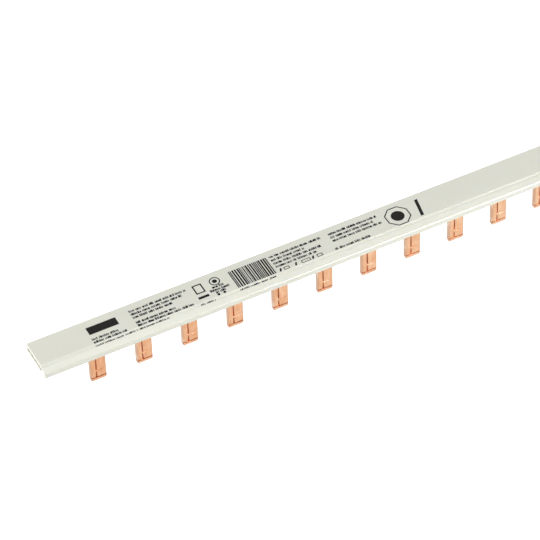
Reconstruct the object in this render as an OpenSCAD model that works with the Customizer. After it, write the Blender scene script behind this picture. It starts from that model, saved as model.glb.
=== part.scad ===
// Single-pole comb busbar: a flat insulating channel with a folded copper comb lying in it.
// Millimetres. X runs along the bar, +Y goes to the back of the flat housing, +Z is up.
// The origin is in the middle of the row of pins, level with the underside of the housing.

/* [Bar] */
// distance from one pin to the next, the width of one breaker module
module_pitch = 17.8; // [17.5:0.1:18]
// number of pins, one for each module
pin_count = 12; // [2:1:18]
// from the centre of an outer pin to the end of the housing
end_overhang = 20.3; // [10:0.1:24]

/* [Housing] */
// from the back edge to the front face
housing_depth = 15.4; // [14:0.1:20]
// from the underside to the flat top
housing_height = 3.6; // [3.4:0.1:4.4]
// thickness of the front wall
front_wall = 1.1; // [0.8:0.1:1.2]
// thickness of the back wall and of the floor
floor_wall = 1; // [0.8:0.1:1]
// how far the roof falls on its way from the crease to the front face
roof_fall = 1.5; // [1:0.1:1.6]
// from the crease in the roof to the front face
roof_run = 3.6; // [3.2:0.1:4.2]
// width of the shallow groove that runs along the sloping roof
groove_width = 0.7; // [0.4:0.1:0.9]

/* [Comb] */
// thickness of the copper sheet
sheet = 1; // [0.8:0.1:1]
// width of a folded pin
pin_width = 5.9; // [4.8:0.1:6.4]
// how far the pins reach below the housing
pin_drop = 12.2; // [10:0.1:14]
// where the folded edges meet, as a share of the pin's width
seam_share = 0.35; // [0.3:0.01:0.5]
// gap between the folded edges, where it is widest
seam_gap = 0.5; // [0.3:0.05:0.6]
// height of the pressed nose at the end of a pin
nose_height = 1.6; // [1:0.1:2]

/* [Hidden] */
$fn = 32;

housing_color = [0.87, 0.87, 0.82];
copper_color = [0.87, 0.56, 0.38];

bar_length = (pin_count - 1) * module_pitch + 2 * end_overhang;

slide_gap = 0.2;      // copper to the housing's roof and back wall
front_gap = 0.25;     // pins to the front wall
slot_gap = 0.9;       // pins to the edge of the floor
end_recess = 1;       // copper to the housing's ends
pin_depth = 2 * sheet;

front_y = -pin_depth / 2 - front_gap - front_wall;
back_y = front_y + housing_depth;
crease_y = front_y + roof_run;
floor_edge_y = pin_depth / 2 + slot_gap;
back_wall_y = back_y - floor_wall;

// the roof falls at this angle between the crease and the front face
roof_angle = atan(roof_fall / roof_run);
roof_wall = housing_height - floor_wall - sheet - slide_gap;
brow_radius = 0.6;    // between the sloping roof and the front face
foot_radius = 0.2;
back_radius = 0.45;
groove_depth = 0.12;

bend_inner = 0.5;
bend_y = pin_depth / 2 + bend_inner;
bend_z = floor_wall - bend_inner;
strip_front_y = floor_edge_y + 0.5;
strip_back_y = back_wall_y - slide_gap;
flap_top = bend_z - 0.2;
corner_fill = 0.85;   // how far the corner above the front wall is filled in
corner_z = flap_top + 0.2;

fold_radius = 0.35 * sheet;
seam_x = pin_width * (seam_share - 0.5);
seam_flare = 0.25;    // depth and half width of the bevel along the flap edges
bridge_z = -0.585 * pin_drop;
bridge_height = 0.6;
nose_z = nose_height - pin_drop;
nose_inset = 0.45;
nose_radius = 0.7;
nose_line = 0.36;     // width of the line where the flaps end
nose_depth = 0.45;
crease_line = 0.1;    // fine line pressed across the wider flap at the bridge

// height of the roof's outer face at a place on its slope
function roof_z(y) = housing_height - (crease_y - y) * tan(roof_angle);

// a profile drawn as depth and height, run along the bar
module along_bar(length) {
    rotate([90, 0, 90]) translate([0, 0, -length / 2]) linear_extrude(length) children();
}

// outside of the housing: flat top, crease, sloping roof and rounded edges
module housing_outline() {
    brow_y = front_y + brow_radius;
    brow_z = roof_z(brow_y) - brow_radius / cos(roof_angle);
    polygon([
        [front_y, foot_radius],
        [front_y + foot_radius, 0],
        [back_y - back_radius, 0],
        [back_y, back_radius],
        [back_y, housing_height - back_radius],
        [back_y - back_radius, housing_height],
        [crease_y, housing_height],
        [brow_y - brow_radius * sin(roof_angle), brow_z + brow_radius * cos(roof_angle)],
        [front_y, brow_z]
    ]);
    translate([brow_y, brow_z]) circle(brow_radius);
    translate([front_y + foot_radius, foot_radius]) circle(foot_radius);
    for (z = [back_radius, housing_height - back_radius])
        translate([back_y - back_radius, z]) circle(back_radius);
}

// room inside: a flat channel for the strip and a slot below for the pins
module housing_room() {
    inner_y = front_y + front_wall;
    ceiling_z = housing_height - roof_wall;
    polygon([
        [inner_y, -1],
        [floor_edge_y, -1],
        [floor_edge_y, floor_wall],
        [back_wall_y, floor_wall],
        [back_wall_y, ceiling_z],
        [crease_y, ceiling_z],
        [inner_y + corner_fill, roof_z(inner_y + corner_fill) - roof_wall],
        [inner_y, corner_z]
    ]);
}

// shallow groove along the roof, just in front of the crease
module roof_groove() {
    groove_y = crease_y - 0.75;
    translate([groove_y, roof_z(groove_y)]) rotate(roof_angle)
        translate([-groove_width / 2, -groove_depth]) square([groove_width, 1]);
}

module housing() {
    color(housing_color) along_bar(bar_length) difference() {
        housing_outline();
        housing_room();
        roof_groove();
    }
}

// strip with the quarter bend that turns it down into a pin
module bend() {
    along_bar(pin_width) {
        difference() {
            translate([bend_y, bend_z]) circle(bend_inner + sheet);
            translate([bend_y, bend_z]) circle(bend_inner);
            translate([bend_y, bend_z - 5]) square([5, 10]);
            translate([bend_y - 5, bend_z - 5]) square([10, 5]);
        }
        translate([bend_y - 0.01, bend_z + bend_inner])
            square([strip_front_y - bend_y + 0.11, sheet]);
    }
}

// doubled sheet seen from above, its two flaps meeting in front
module folded_section() {
    half = pin_width / 2;
    square([pin_width - 2 * fold_radius, pin_depth], center = true);
    square([pin_width, pin_depth - 2 * fold_radius], center = true);
    for (x = [fold_radius - half, half - fold_radius], y = [-1, 1])
        translate([x, y * (sheet - fold_radius)]) circle(fold_radius);
}

// gap between the flaps from the front, narrow at the top and widest above the bridge
module seam_front() {
    wide = seam_gap / 2;
    narrow = wide / 3;
    top = bridge_z + bridge_height / 2;
    foot = bridge_z - bridge_height / 2;
    polygon([
        [seam_x - narrow, 2], [seam_x + narrow, 2],
        [seam_x + wide, top + 1.5], [seam_x + 2 * narrow, top],
        [seam_x - 2 * narrow, top], [seam_x - wide, top + 1.5]
    ]);
    polygon([
        [seam_x - narrow, foot], [seam_x + narrow, foot],
        [seam_x + 1.4 * wide, nose_z], [seam_x - 0.8 * wide, nose_z]
    ]);
}

// bevel along the edges of the flaps, from one height up to another
module seam_bevel(from, to) {
    translate([seam_x, -sheet, from]) linear_extrude(to - from)
        rotate(45) square(seam_flare * sqrt(2), center = true);
}

// outline of a pin from the front, with rounded lower corners
module pin_front() {
    side = pin_width / 2 - nose_radius;
    translate([-pin_width / 2, nose_radius - pin_drop]) square([pin_width, pin_drop + 1]);
    translate([-side, -pin_drop]) square([2 * side, 1]);
    for (x = [-side, side]) translate([x, nose_radius - pin_drop]) circle(nose_radius);
}

// outline of a pin from the side, its nose pressed thinner towards the end
module pin_side() {
    tip = sheet - nose_inset;
    polygon([
        [-sheet, 2], [-sheet, nose_z], [-tip, -pin_drop],
        [tip, -pin_drop], [sheet, nose_z], [sheet, 2]
    ]);
}

// everything pressed or left open in the front of a pin
module pin_cuts() {
    rotate([90, 0, 0]) linear_extrude(sheet + 0.1) seam_front();
    seam_bevel(bridge_z + bridge_height / 2, 2);
    seam_bevel(nose_z, bridge_z - bridge_height / 2);
    translate([seam_x + 0.3, -sheet - 1, bridge_z - crease_line])
        cube([pin_width / 2 - 1 - seam_x - 0.3, 1 + crease_line, crease_line]);
    // the flaps end in a line across the nose, which widens at the seam
    translate([-pin_width, -sheet - 1, nose_z]) cube([2 * pin_width, 1 + nose_depth, nose_line]);
    translate([seam_x, nose_depth - sheet, nose_z]) rotate([90, 0, 0]) linear_extrude(1)
        polygon([[-0.45, 0], [0.75, 0], [0.3, 0.7], [0.1, 1.3], [-0.1, 1.3], [-0.25, 0.7]]);
}

module pin() {
    difference() {
        intersection() {
            translate([0, 0, -pin_drop]) linear_extrude(pin_drop + flap_top) folded_section();
            rotate([90, 0, 0]) translate([0, 0, -2]) linear_extrude(4) pin_front();
            along_bar(pin_width + 1) pin_side();
        }
        pin_cuts();
    }
    // the back layer of the sheet runs on up to the bend
    translate([-pin_width / 2, 0, -0.1]) cube([pin_width, sheet, bend_z + 0.11]);
}

module comb() {
    strip_length = bar_length - 2 * end_recess;
    color(copper_color) {
        translate([-strip_length / 2, strip_front_y, floor_wall])
            cube([strip_length, strip_back_y - strip_front_y, sheet]);
        for (i = [0 : pin_count - 1]) translate([(i - (pin_count - 1) / 2) * module_pitch, 0, 0]) {
            bend();
            pin();
        }
    }
}

housing();
comb();
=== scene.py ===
import random
from math import cos, pi, radians, sin

import bmesh
import bpy
from mathutils import Matrix, Vector


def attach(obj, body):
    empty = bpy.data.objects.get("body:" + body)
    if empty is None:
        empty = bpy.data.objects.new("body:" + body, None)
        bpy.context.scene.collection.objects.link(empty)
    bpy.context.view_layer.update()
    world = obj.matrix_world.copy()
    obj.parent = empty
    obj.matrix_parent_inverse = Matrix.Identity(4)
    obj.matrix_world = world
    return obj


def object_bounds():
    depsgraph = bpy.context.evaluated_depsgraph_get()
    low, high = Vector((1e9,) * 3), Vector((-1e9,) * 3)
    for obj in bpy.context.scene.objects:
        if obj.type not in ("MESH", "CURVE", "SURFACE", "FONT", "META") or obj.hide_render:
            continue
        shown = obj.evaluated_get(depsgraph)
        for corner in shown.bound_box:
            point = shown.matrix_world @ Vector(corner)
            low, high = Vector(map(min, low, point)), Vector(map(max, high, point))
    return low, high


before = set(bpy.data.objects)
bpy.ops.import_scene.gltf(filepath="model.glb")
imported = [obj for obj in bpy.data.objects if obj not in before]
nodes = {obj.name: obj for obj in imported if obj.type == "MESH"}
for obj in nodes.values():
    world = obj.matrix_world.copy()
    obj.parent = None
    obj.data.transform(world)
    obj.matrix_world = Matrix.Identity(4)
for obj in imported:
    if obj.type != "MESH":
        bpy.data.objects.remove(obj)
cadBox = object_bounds()
scene = bpy.context.scene
mm = 0.001
print("frame loaded")


# node helpers, shared by all materials

def newMaterial(name):
    mat = bpy.data.materials.new(name)
    mat.use_nodes = True
    tree = mat.node_tree
    tree.nodes.clear()
    out = tree.nodes.new("ShaderNodeOutputMaterial")
    shader = tree.nodes.new("ShaderNodeBsdfPrincipled")
    tree.links.new(shader.outputs[0], out.inputs[0])
    return mat, tree, shader


def add(tree, kind, **settings):
    node = tree.nodes.new(kind)
    for key, value in settings.items():
        if key in node.inputs:
            node.inputs[key].default_value = value
        else:
            setattr(node, key, value)
    return node


def srgb(r, g, b):
    def linear(c):
        c = c / 255
        return c / 12.92 if c <= 0.04045 else ((c + 0.055) / 1.055) ** 2.4
    return (linear(r), linear(g), linear(b), 1)


def noise(tree, coords, stretch, detail=3, roughness=0.5):
    mapping = add(tree, "ShaderNodeMapping")
    mapping.inputs["Scale"].default_value = stretch
    tree.links.new(coords, mapping.inputs["Vector"])
    tex = add(tree, "ShaderNodeTexNoise", Scale=1.0, Detail=detail, Roughness=roughness)
    tree.links.new(mapping.outputs[0], tex.inputs["Vector"])
    return tex.outputs["Fac"]


def ramp(tree, value, stops):
    node = add(tree, "ShaderNodeValToRGB")
    elements = node.color_ramp.elements
    while len(elements) < len(stops):
        elements.new(0.5)
    for element, (place, colour) in zip(elements, stops):
        element.position = place
        element.color = colour
    tree.links.new(value, node.inputs[0])
    return node.outputs[0]


# the second colour where the share is 1; either may be a fixed colour or a socket
def blend(tree, share, first, second):
    node = add(tree, "ShaderNodeMix", data_type="RGBA")
    tree.links.new(share, node.inputs["Factor"])
    # sockets 6 and 7 are the node's two colours
    for colour, socket in ((first, node.inputs[6]), (second, node.inputs[7])):
        if isinstance(colour, tuple):
            socket.default_value = colour
        else:
            tree.links.new(colour, socket)
    return node.outputs[2]


# one step of arithmetic on sockets and numbers
def compute(tree, kind, value, *numbers):
    node = add(tree, "ShaderNodeMath", operation=kind)
    for i, item in enumerate((value, *numbers)):
        if isinstance(item, (int, float)):
            node.inputs[i].default_value = item
        else:
            tree.links.new(item, node.inputs[i])
    return node.outputs[0]


# the three parts of a place or direction, picked by letter
def separate(tree, vector):
    node = add(tree, "ShaderNodeSeparateXYZ")
    tree.links.new(vector, node.inputs[0])
    return node.outputs


# bump from a height; with an edge radius, sharp edges catch the light as rounded ones
def relief(tree, shader, height, depth, strength=0.6, edge=0.0):
    bump = add(tree, "ShaderNodeBump", Strength=strength, Distance=depth)
    tree.links.new(height, bump.inputs["Height"])
    if edge:
        soft = add(tree, "ShaderNodeBevel", Radius=edge)
        tree.links.new(soft.outputs[0], bump.inputs["Normal"])
    tree.links.new(bump.outputs[0], shader.inputs["Normal"])


plastic = {
    "colour": (219, 220, 207),
    "darker": (217, 218, 205),
    "cloudScale": (30, 120, 120),
    "roughness": 0.22,
    "refraction": 1.58,
    "polish": 1.0,        # share of a smoother skin, from the polished die
    "polishRoughness": 0.15,
    "streak": 0.000004,   # depth of the fine lines left by the extruder
    "streakScale": (4, 3000, 3000),
    "glow": 0.6,          # share of the light that spreads inside the plastic
    "glowColour": (1.0, 0.9, 0.7),
    "glowReach": 0.0005,
    "edge": 0.00025,      # how rounded a sharp edge looks
}


def plasticMaterial(look):
    mat, tree, shader = newMaterial("housingPlastic")
    coords = add(tree, "ShaderNodeTexCoord").outputs["Object"]
    cloud = noise(tree, coords, look["cloudScale"])
    colour = ramp(tree, cloud, [(0.3, srgb(*look["darker"])), (0.7, srgb(*look["colour"]))])
    tree.links.new(colour, shader.inputs["Base Color"])
    streaks = noise(tree, coords, look["streakScale"], detail=2)
    relief(tree, shader, streaks, look["streak"], edge=look["edge"])
    shader.inputs["Roughness"].default_value = look["roughness"]
    shader.inputs["IOR"].default_value = look["refraction"]
    shader.inputs["Coat Weight"].default_value = look["polish"]
    shader.inputs["Coat Roughness"].default_value = look["polishRoughness"]
    shader.inputs["Subsurface Weight"].default_value = look["glow"]
    shader.inputs["Subsurface Radius"].default_value = look["glowColour"]
    shader.inputs["Subsurface Scale"].default_value = look["glowReach"]
    return mat


copper = {
    "light": (252, 207, 168),
    "dark": (234, 171, 127),
    "along": 1.2,                # painted light: how much lighter the metal gets along the bar, per metre
    "patchScale": (700, 700, 300),
    "side": (213, 169, 137),     # painted shade of the folded sides, and the painted glints on them
    "sideGlint": (232, 208, 188),
    "glintScale": (400, 400, 250),
    "pitch": 0.0178,             # from one pin to the next
    "foldStart": 0.0020,         # where the painted shade of the folds begins, from a pin's middle
    "foldEnd": 0.00295,
    "foldShare": 0.5,
    "bendShade": (190, 122, 82),  # painted shade and painted highlight of the fine line pressed across the wider flap
    "bendHighlight": (255, 232, 206),
    "bendScale": (90, 90, 90),
    "bendHeight": -0.00714,
    "bendSize": 0.00016,
    "bendStart": -0.00055,       # the line's two ends, from a pin's middle
    "bendEnd": 0.0020,
    "pressed": (196, 118, 74),   # painted shade round the line where the flaps end
    "pressedShare": 0.4,
    "lineTop": -0.0099,          # heights between which the nose is pressed in
    "lineFoot": -0.0112,
    "gap": (232, 170, 128),      # painted shade of the metal down in the seam between the flaps
    "line": (200, 140, 104),     # darker painted shade of the metal down in the line where the flaps end
    "gapReach": 0.0006,
    "roughness": 0.33,
    "scratch": 0.00002,          # depth of the rolling scratches
    "scratchScale": (5000, 5000, 300),
    "edge": 0.00012,
}


# place along the bar, measured from the middle of the nearest pin
def fromPinMiddle(tree, where, pitch):
    along = compute(tree, "WRAP", where["X"], pitch, 0)
    return compute(tree, "SUBTRACT", along, pitch / 2)


# share of the pressed line's painted shade and highlight: a band in height, on the front, over
# part of each pin
def bendLine(tree, where, facing, middle, look):
    height = compute(tree, "COMPARE", where["Z"], look["bendHeight"], look["bendSize"])
    begun = compute(tree, "GREATER_THAN", middle, look["bendStart"])
    within = compute(tree, "LESS_THAN", middle, look["bendEnd"])
    front = compute(tree, "LESS_THAN", facing["Y"], -0.5)
    across = compute(tree, "MULTIPLY", begun, within)
    return compute(tree, "MULTIPLY", compute(tree, "MULTIPLY", height, across), front)


# share of painted shade that grows towards the two folds of a pin
def foldShade(tree, middle, look):
    grow = add(tree, "ShaderNodeMapRange", **{
        "From Min": look["foldStart"], "From Max": look["foldEnd"], "To Max": look["foldShare"]})
    tree.links.new(compute(tree, "ABSOLUTE", middle), grow.inputs["Value"])
    return grow.outputs[0]


def copperMaterial(look):
    mat, tree, shader = newMaterial("combCopper")
    coords = add(tree, "ShaderNodeTexCoord")
    place = coords.outputs["Object"]
    where = separate(tree, place)
    facing = separate(tree, coords.outputs["Normal"])

    # patches of lighter and darker metal, with painted light making it a little lighter towards
    # the far end
    cloud = noise(tree, place, look["patchScale"], detail=5, roughness=0.65)
    patches = compute(tree, "MULTIPLY_ADD", where["X"], look["along"], cloud)
    face = ramp(tree, patches, [(0.3, srgb(*look["dark"])), (0.7, srgb(*look["light"]))])

    # painted shade grows on the faces towards the folds, and the folded sides get painted shade
    # with pale painted glints
    middle = fromPinMiddle(tree, where, look["pitch"])
    face = blend(tree, foldShade(tree, middle, look), face, srgb(*look["side"]))
    sideShadeAndGlints = ramp(tree, noise(tree, place, look["glintScale"], detail=2), [
        (0.5, srgb(*look["side"])), (0.66, srgb(*look["sideGlint"]))])
    face = blend(tree, compute(tree, "ABSOLUTE", facing["X"]), face, sideShadeAndGlints)

    # a fine line across the wider flap, with painted shade on some pins and a painted highlight on
    # others
    bend = ramp(tree, noise(tree, place, look["bendScale"], detail=2), [
        (0.46, srgb(*look["bendShade"])), (0.62, srgb(*look["bendHighlight"]))])
    face = blend(tree, bendLine(tree, where, facing, middle, look), face, bend)

    # painted shade: the metal is darker round the line where the flaps end
    pressed = add(tree, "ShaderNodeMapRange", **{
        "From Min": look["lineFoot"], "From Max": look["lineTop"]})
    tree.links.new(where["Z"], pressed.inputs["Value"])
    share = (look["pressedShare"],) * 3 + (1,)
    band = ramp(tree, pressed.outputs[0], [
        (0.0, (0, 0, 0, 1)), (0.35, share), (0.75, share), (1.0, (0, 0, 0, 1))])
    face = blend(tree, band, face, srgb(*look["pressed"]))

    # painted shade in the gaps, from ambient occlusion, darkest in that line
    atLine = compute(tree, "LESS_THAN", where["Z"], look["lineTop"])
    gap = blend(tree, atLine, srgb(*look["gap"]), srgb(*look["line"]))
    shade = add(tree, "ShaderNodeAmbientOcclusion", Distance=look["gapReach"], samples=8)
    depth = ramp(tree, shade.outputs["AO"], [(0.2, (0, 0, 0, 1)), (0.8, (1, 1, 1, 1))])
    tree.links.new(blend(tree, depth, gap, face), shader.inputs["Base Color"])
    shader.inputs["Metallic"].default_value = 1
    scratches = noise(tree, place, look["scratchScale"], detail=2)
    relief(tree, shader, scratches, look["scratch"], strength=0.5, edge=look["edge"])
    shader.inputs["Roughness"].default_value = look["roughness"]
    return mat


def paint(obj, mat):
    obj.data.materials.clear()
    obj.data.materials.append(mat)


paint(nodes["housing"], plasticMaterial(plastic))
paint(nodes["comb"], copperMaterial(copper))
print("materials done")


# plain printed marks: dashes for fine print, a field of bars and simple shapes, all in mm

ink = {
    "colour": (18, 18, 16),
    "faded": (40, 39, 36),
    "wearScale": (2500, 2500, 2500),
    "wear": 0.000003,        # depth of the wear, in metres
    "roughness": 0.5,
    "shine": 0.12,
    "thickness": 0.012,
    "sink": 0.01,            # how far a mark reaches into the plastic
    "dash": 0.32,            # width of one small dash
    "dashWidths": (0.8, 1.0, 1.3),
    "dashHeights": (0.78, 0.78, 1.0),
    "dashGap": 0.12,
    "word": (1.6, 4.2),      # length of a run of dashes, shortest and longest
    "wordGap": 0.55,
    "height": 1.12,
    "grooveHeight": 0.62,    # height of the dashes in the roof's groove
    "barWidths": (0.22, 0.4, 0.4, 0.62),
    "barGaps": (0.2, 0.28, 0.36),
    "seed": 4,
}

# each line of fine print: start and end along the bar, and place across it
finePrint = [
    (-97.6, -86.8, 3.5), (-97.6, -84.8, 1.95), (-97.6, -81.2, 0.5),
    (-80.7, -58.7, 9.45), (-80.7, -60.7, 7.8), (-80.7, -65.4, 6.15),
    (-80.7, -65.4, 3.5), (-80.7, -59.0, 1.95), (-80.7, -69.3, 0.5),
    (-56.9, -51.2, 0.5), (-51.4, -44.0, 4.5), (-50.0, -45.6, 5.9), (-49.8, -45.8, 3.2),
    (-41.6, -27.2, 0.5),
    (-25.8, -5.1, 9.6), (-25.8, -12.6, 7.8), (-25.8, -7.0, 6.0), (-25.8, -9.3, 4.3),
    (-3.2, 10.9, 1.95), (-2.1, 17.2, 9.6), (-2.1, 15.0, 7.8), (-2.1, 17.8, 6.0),
]
# start, end and the two sides across the bar
barField = (-41.8, -26.6, 1.4, 10.1)

# the roof slopes down from the crease to the front face
roof = {
    "run": 3.6,
    "fall": 1.5,
    "grooveDepth": 0.13,   # straight down
}
roofTop = cadBox[1][2] / mm
creaseY = cadBox[0][1] / mm + roof["run"]


# height of the plastic under a mark; in front of the crease a mark lies as low as the groove
def roofHeight(y):
    if y >= creaseY:
        return roofTop
    return roofTop - (creaseY - y) * roof["fall"] / roof["run"] - roof["grooveDepth"]


# thin slab of ink over an outline
def addMark(bm, outline):
    def layer(lift):
        return [bm.verts.new((x * mm, y * mm, (roofHeight(y) + lift) * mm)) for x, y in outline]
    low, high = layer(-ink["sink"]), layer(ink["thickness"])
    bm.faces.new(low[::-1])
    bm.faces.new(high)
    for i in range(len(outline)):
        j = (i + 1) % len(outline)
        bm.faces.new((low[i], low[j], high[j], high[i]))


def block(bm, x0, x1, y0, y1):
    addMark(bm, [(x0, y0), (x1, y0), (x1, y1), (x0, y1)])


# ring of short straight slabs
def ring(bm, x, y, outer, inner, corners):
    turn = 2 * pi / corners
    for i in range(corners):
        a, b = (i - 0.5) * turn, (i + 0.5) * turn
        addMark(bm, [
            (x + inner * cos(a), y + inner * sin(a)), (x + outer * cos(a), y + outer * sin(a)),
            (x + outer * cos(b), y + outer * sin(b)), (x + inner * cos(b), y + inner * sin(b))])


# empty rectangle, drawn as four lines
def frameShape(bm, x0, x1, y0, y1, line):
    block(bm, x0, x1, y0, y0 + line)
    block(bm, x0, x1, y1 - line, y1)
    block(bm, x0, x0 + line, y0 + line, y1 - line)
    block(bm, x1 - line, x1, y0 + line, y1 - line)


def disc(bm, x, y, radius, corners=40):
    turn = 2 * pi / corners
    addMark(bm, [(x + radius * cos(i * turn), y + radius * sin(i * turn)) for i in range(corners)])


def slantBar(bm, x, y0, y1, width, lean):
    addMark(bm, [(x, y0), (x + width, y0), (x + width + lean, y1), (x + lean, y1)])


plainShapes = [
    # start, end, and the two sides across the bar
    (block, [(-97.3, -86.0, 5.9, 9.5), (-56.5, -52.4, 2.8, 3.9)]),
    # the same, and the width of the line
    (frameShape, [(-56.2, -52.6, 5.4, 9.9, 0.5), (-23.6, -21.4, 1.4, 2.8, 0.28),
                  (-16.6, -13.0, 1.4, 2.8, 0.28), (-10.4, -8.2, 1.4, 2.8, 0.28)]),
    # middle, outer and inner radius, and number of corners
    (ring, [(-47.8, 8.4, 2.0, 1.6, 40), (24.2, 5.95, 4.95, 4.5, 8)]),
    # middle and radius
    (disc, [(-47.8, 8.4, 0.9), (-49.3, 1.95, 0.55), (-47.0, 1.95, 0.55), (24.2, 5.95, 2.5)]),
    # start, the two sides, width and lean
    (slantBar, [(31.6, 2.0, 10.2, 1.2, 1.6), (-25.5, 1.4, 2.9, 0.7, 0.6),
                (-19.4, 1.4, 2.9, 0.7, 0.6), (-12.6, 1.4, 2.9, 0.7, 0.6)]),
]


# one line of fine print: runs of small dashes
def dashes(bm, dice, x, end, y, look):
    tall = look["height"] if y > creaseY else look["grooveHeight"]
    while x < end - look["dash"]:
        wordEnd = min(end, x + dice.uniform(*look["word"]))
        while x < wordEnd - look["dash"]:
            wide = look["dash"] * dice.choice(look["dashWidths"])
            top = y - tall / 2 + tall * dice.choice(look["dashHeights"])
            block(bm, x, x + wide, y - tall / 2, top)
            x += look["dash"] + look["dashGap"]
        x += look["wordGap"] - look["dashGap"]


# field of bars whose widths come from the dice and stand for nothing
def bars(bm, dice, place, look):
    x, end, y0, y1 = place
    while x < end:
        wide = dice.choice(look["barWidths"])
        block(bm, x, min(x + wide, end), y0, y1)
        x += wide + dice.choice(look["barGaps"])


def inkMaterial(look):
    mat, tree, shader = newMaterial("printInk")
    coords = add(tree, "ShaderNodeTexCoord").outputs["Object"]
    wear = noise(tree, coords, look["wearScale"], detail=4)
    colour = ramp(tree, wear, [(0.4, srgb(*look["colour"])), (0.75, srgb(*look["faded"]))])
    tree.links.new(colour, shader.inputs["Base Color"])
    relief(tree, shader, wear, look["wear"])
    shader.inputs["Roughness"].default_value = look["roughness"]
    shader.inputs["Specular IOR Level"].default_value = look["shine"]
    return mat


# one piece of print, fixed to the bar
def makePiece(name, draw, mat):
    mesh = bpy.data.meshes.new(name)
    bm = bmesh.new()
    draw(bm)
    bmesh.ops.recalc_face_normals(bm, faces=bm.faces)
    bm.to_mesh(mesh)
    bm.free()
    piece = bpy.data.objects.new(name, mesh)
    mesh.materials.append(mat)
    scene.collection.objects.link(piece)
    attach(piece, "root")


def buildPrint(look):
    dice = random.Random(look["seed"])
    mat = inkMaterial(look)

    def drawFinePrint(bm):
        for start, end, y in finePrint:
            dashes(bm, dice, start, end, y, look)

    def drawShapes(bm):
        for draw, places in plainShapes:
            for place in places:
                draw(bm, *place)

    makePiece("finePrint", drawFinePrint, mat)
    makePiece("barField", lambda bm: bars(bm, dice, barField, look), mat)
    makePiece("plainShapes", drawShapes, mat)


buildPrint(ink)
print("print done")


room = {
    "floorSize": 12,
    "floorHeight": -0.3,
    "floorGrey": (0.80, 0.84),   # darker and lighter patches
    "floorScale": (2, 2, 2),
    "floorRoughness": 0.9,
    "floorGlow": 0.3,
    "floorLift": 0.3,            # extra glow that only the camera sees
    "fill": 0.2,
    "lampColour": (1.0, 0.99, 1.0),
}

# soft lamps: place and size in metres, power in watts
lamps = {
    "sheenLamp": {"place": (0.44, -0.62, 0.54), "size": (0.46, 0.28), "power": 8.5},
    "highLamp": {"place": (0.30, -0.10, 1.20), "size": (1.0, 0.4), "power": 0.6},
    "roofLamp": {"place": (0.14, -0.08, 1.20), "size": (0.32, 0.30), "power": 0.28},
    "endLamp": {"place": (-0.46, 0.16, 0.24), "size": (0.25, 0.25), "power": 1.05},
    "lowEndLamp": {"place": (-0.60, 0.25, 0.05), "size": (0.4, 0.25), "power": 1.9},
}


# picks the second shader where the share is 1
def mixShaders(tree, share, first, second):
    mix = add(tree, "ShaderNodeMixShader")
    tree.links.new(share, mix.inputs[0])
    tree.links.new(first, mix.inputs[1])
    tree.links.new(second, mix.inputs[2])
    return mix.outputs[0]


# pale floor that keeps the shadow; a gloss on the object sees it as plain white
def floorMaterial(look):
    mat, tree, shader = newMaterial("paleFloor")
    coords = add(tree, "ShaderNodeTexCoord").outputs["Object"]
    low, high = [(grey, grey, grey, 1) for grey in look["floorGrey"]]
    patches = noise(tree, coords, look["floorScale"])
    colour = ramp(tree, patches, [(0.3, low), (0.7, high)])
    tree.links.new(colour, shader.inputs["Base Color"])
    shader.inputs["Roughness"].default_value = look["floorRoughness"]
    shader.inputs["Emission Color"].default_value = (1, 1, 1, 1)
    path = add(tree, "ShaderNodeLightPath")
    seenDirectly = path.outputs["Is Camera Ray"]
    glow = compute(tree, "MULTIPLY_ADD", seenDirectly, look["floorLift"], look["floorGlow"])
    tree.links.new(glow, shader.inputs["Emission Strength"])
    white = add(tree, "ShaderNodeEmission", Strength=1.0)
    seen = mixShaders(tree, path.outputs["Is Glossy Ray"], shader.outputs[0], white.outputs[0])
    out = next(n for n in tree.nodes if n.type == "OUTPUT_MATERIAL")
    tree.links.new(seen, out.inputs[0])
    return mat


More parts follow.
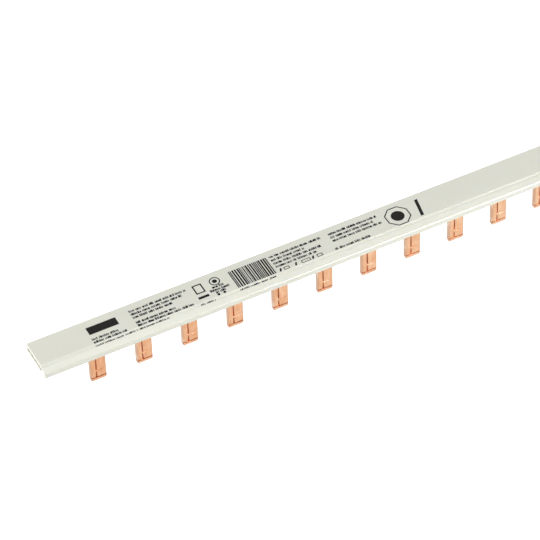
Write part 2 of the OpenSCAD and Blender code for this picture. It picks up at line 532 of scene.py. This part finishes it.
# soft fill light all round, seen as white by the camera and in gloss
def skyWorld(look):
    world = bpy.data.worlds.new("studio")
    world.use_nodes = True
    tree = world.node_tree
    tree.nodes.clear()
    out = tree.nodes.new("ShaderNodeOutputWorld")
    sky = add(tree, "ShaderNodeBackground", Strength=look["fill"], Color=(1, 1, 1, 1))
    white = add(tree, "ShaderNodeBackground", Strength=1.0, Color=(1, 1, 1, 1))
    path = add(tree, "ShaderNodeLightPath")
    seen = compute(tree, "MAXIMUM", path.outputs["Is Camera Ray"], path.outputs["Is Glossy Ray"])
    tree.links.new(mixShaders(tree, seen, sky.outputs[0], white.outputs[0]), out.inputs[0])
    return world


def buildRoom(look):
    bpy.ops.mesh.primitive_plane_add(size=look["floorSize"], location=(0, 0, look["floorHeight"]))
    floor = bpy.context.object
    floor.name = "floor"
    floor.data.materials.append(floorMaterial(look))
    scene.world = skyWorld(look)


def addLamp(name, look):
    data = bpy.data.lights.new(name, "AREA")
    data.shape = "RECTANGLE"
    data.size, data.size_y = look["size"]
    data.energy = look["power"]
    data.color = room["lampColour"]
    lamp = bpy.data.objects.new(name, data)
    lamp.location = look["place"]
    towardsMiddle = -Vector(look["place"])
    lamp.rotation_euler = towardsMiddle.to_track_quat("-Z", "Y").to_euler()
    scene.collection.objects.link(lamp)


buildRoom(room)
for name, look in lamps.items():
    addLamp(name, look)
scene.view_settings.view_transform = "Standard"
print("room done")


# camera fitted to the photograph
shot = {
    "place": (-0.382793, -0.726183, 0.822085),
    "turn": 25.906,   # degrees to the right of +Y
    "dip": 45.241,    # degrees below level
    "roll": -2.150,
    "focal": 6.0753,  # focal length as a share of the picture's width
    "sensor": 36,     # its width in mm
}


def buildCamera(look):
    data = bpy.data.cameras.new("camera")
    data.sensor_fit = "HORIZONTAL"
    data.sensor_width = look["sensor"]
    data.lens = look["sensor"] * look["focal"]
    data.clip_start = 0.05
    camera = bpy.data.objects.new("camera", data)
    camera.rotation_mode = "XYZ"
    turn = Matrix.Rotation(radians(-look["turn"]), 4, "Z")
    dip = Matrix.Rotation(radians(90 - look["dip"]), 4, "X")
    roll = Matrix.Rotation(radians(look["roll"]), 4, "Z")
    camera.matrix_world = Matrix.Translation(look["place"]) @ turn @ dip @ roll
    scene.collection.objects.link(camera)
    scene.camera = camera


buildCamera(shot)
print("camera done")
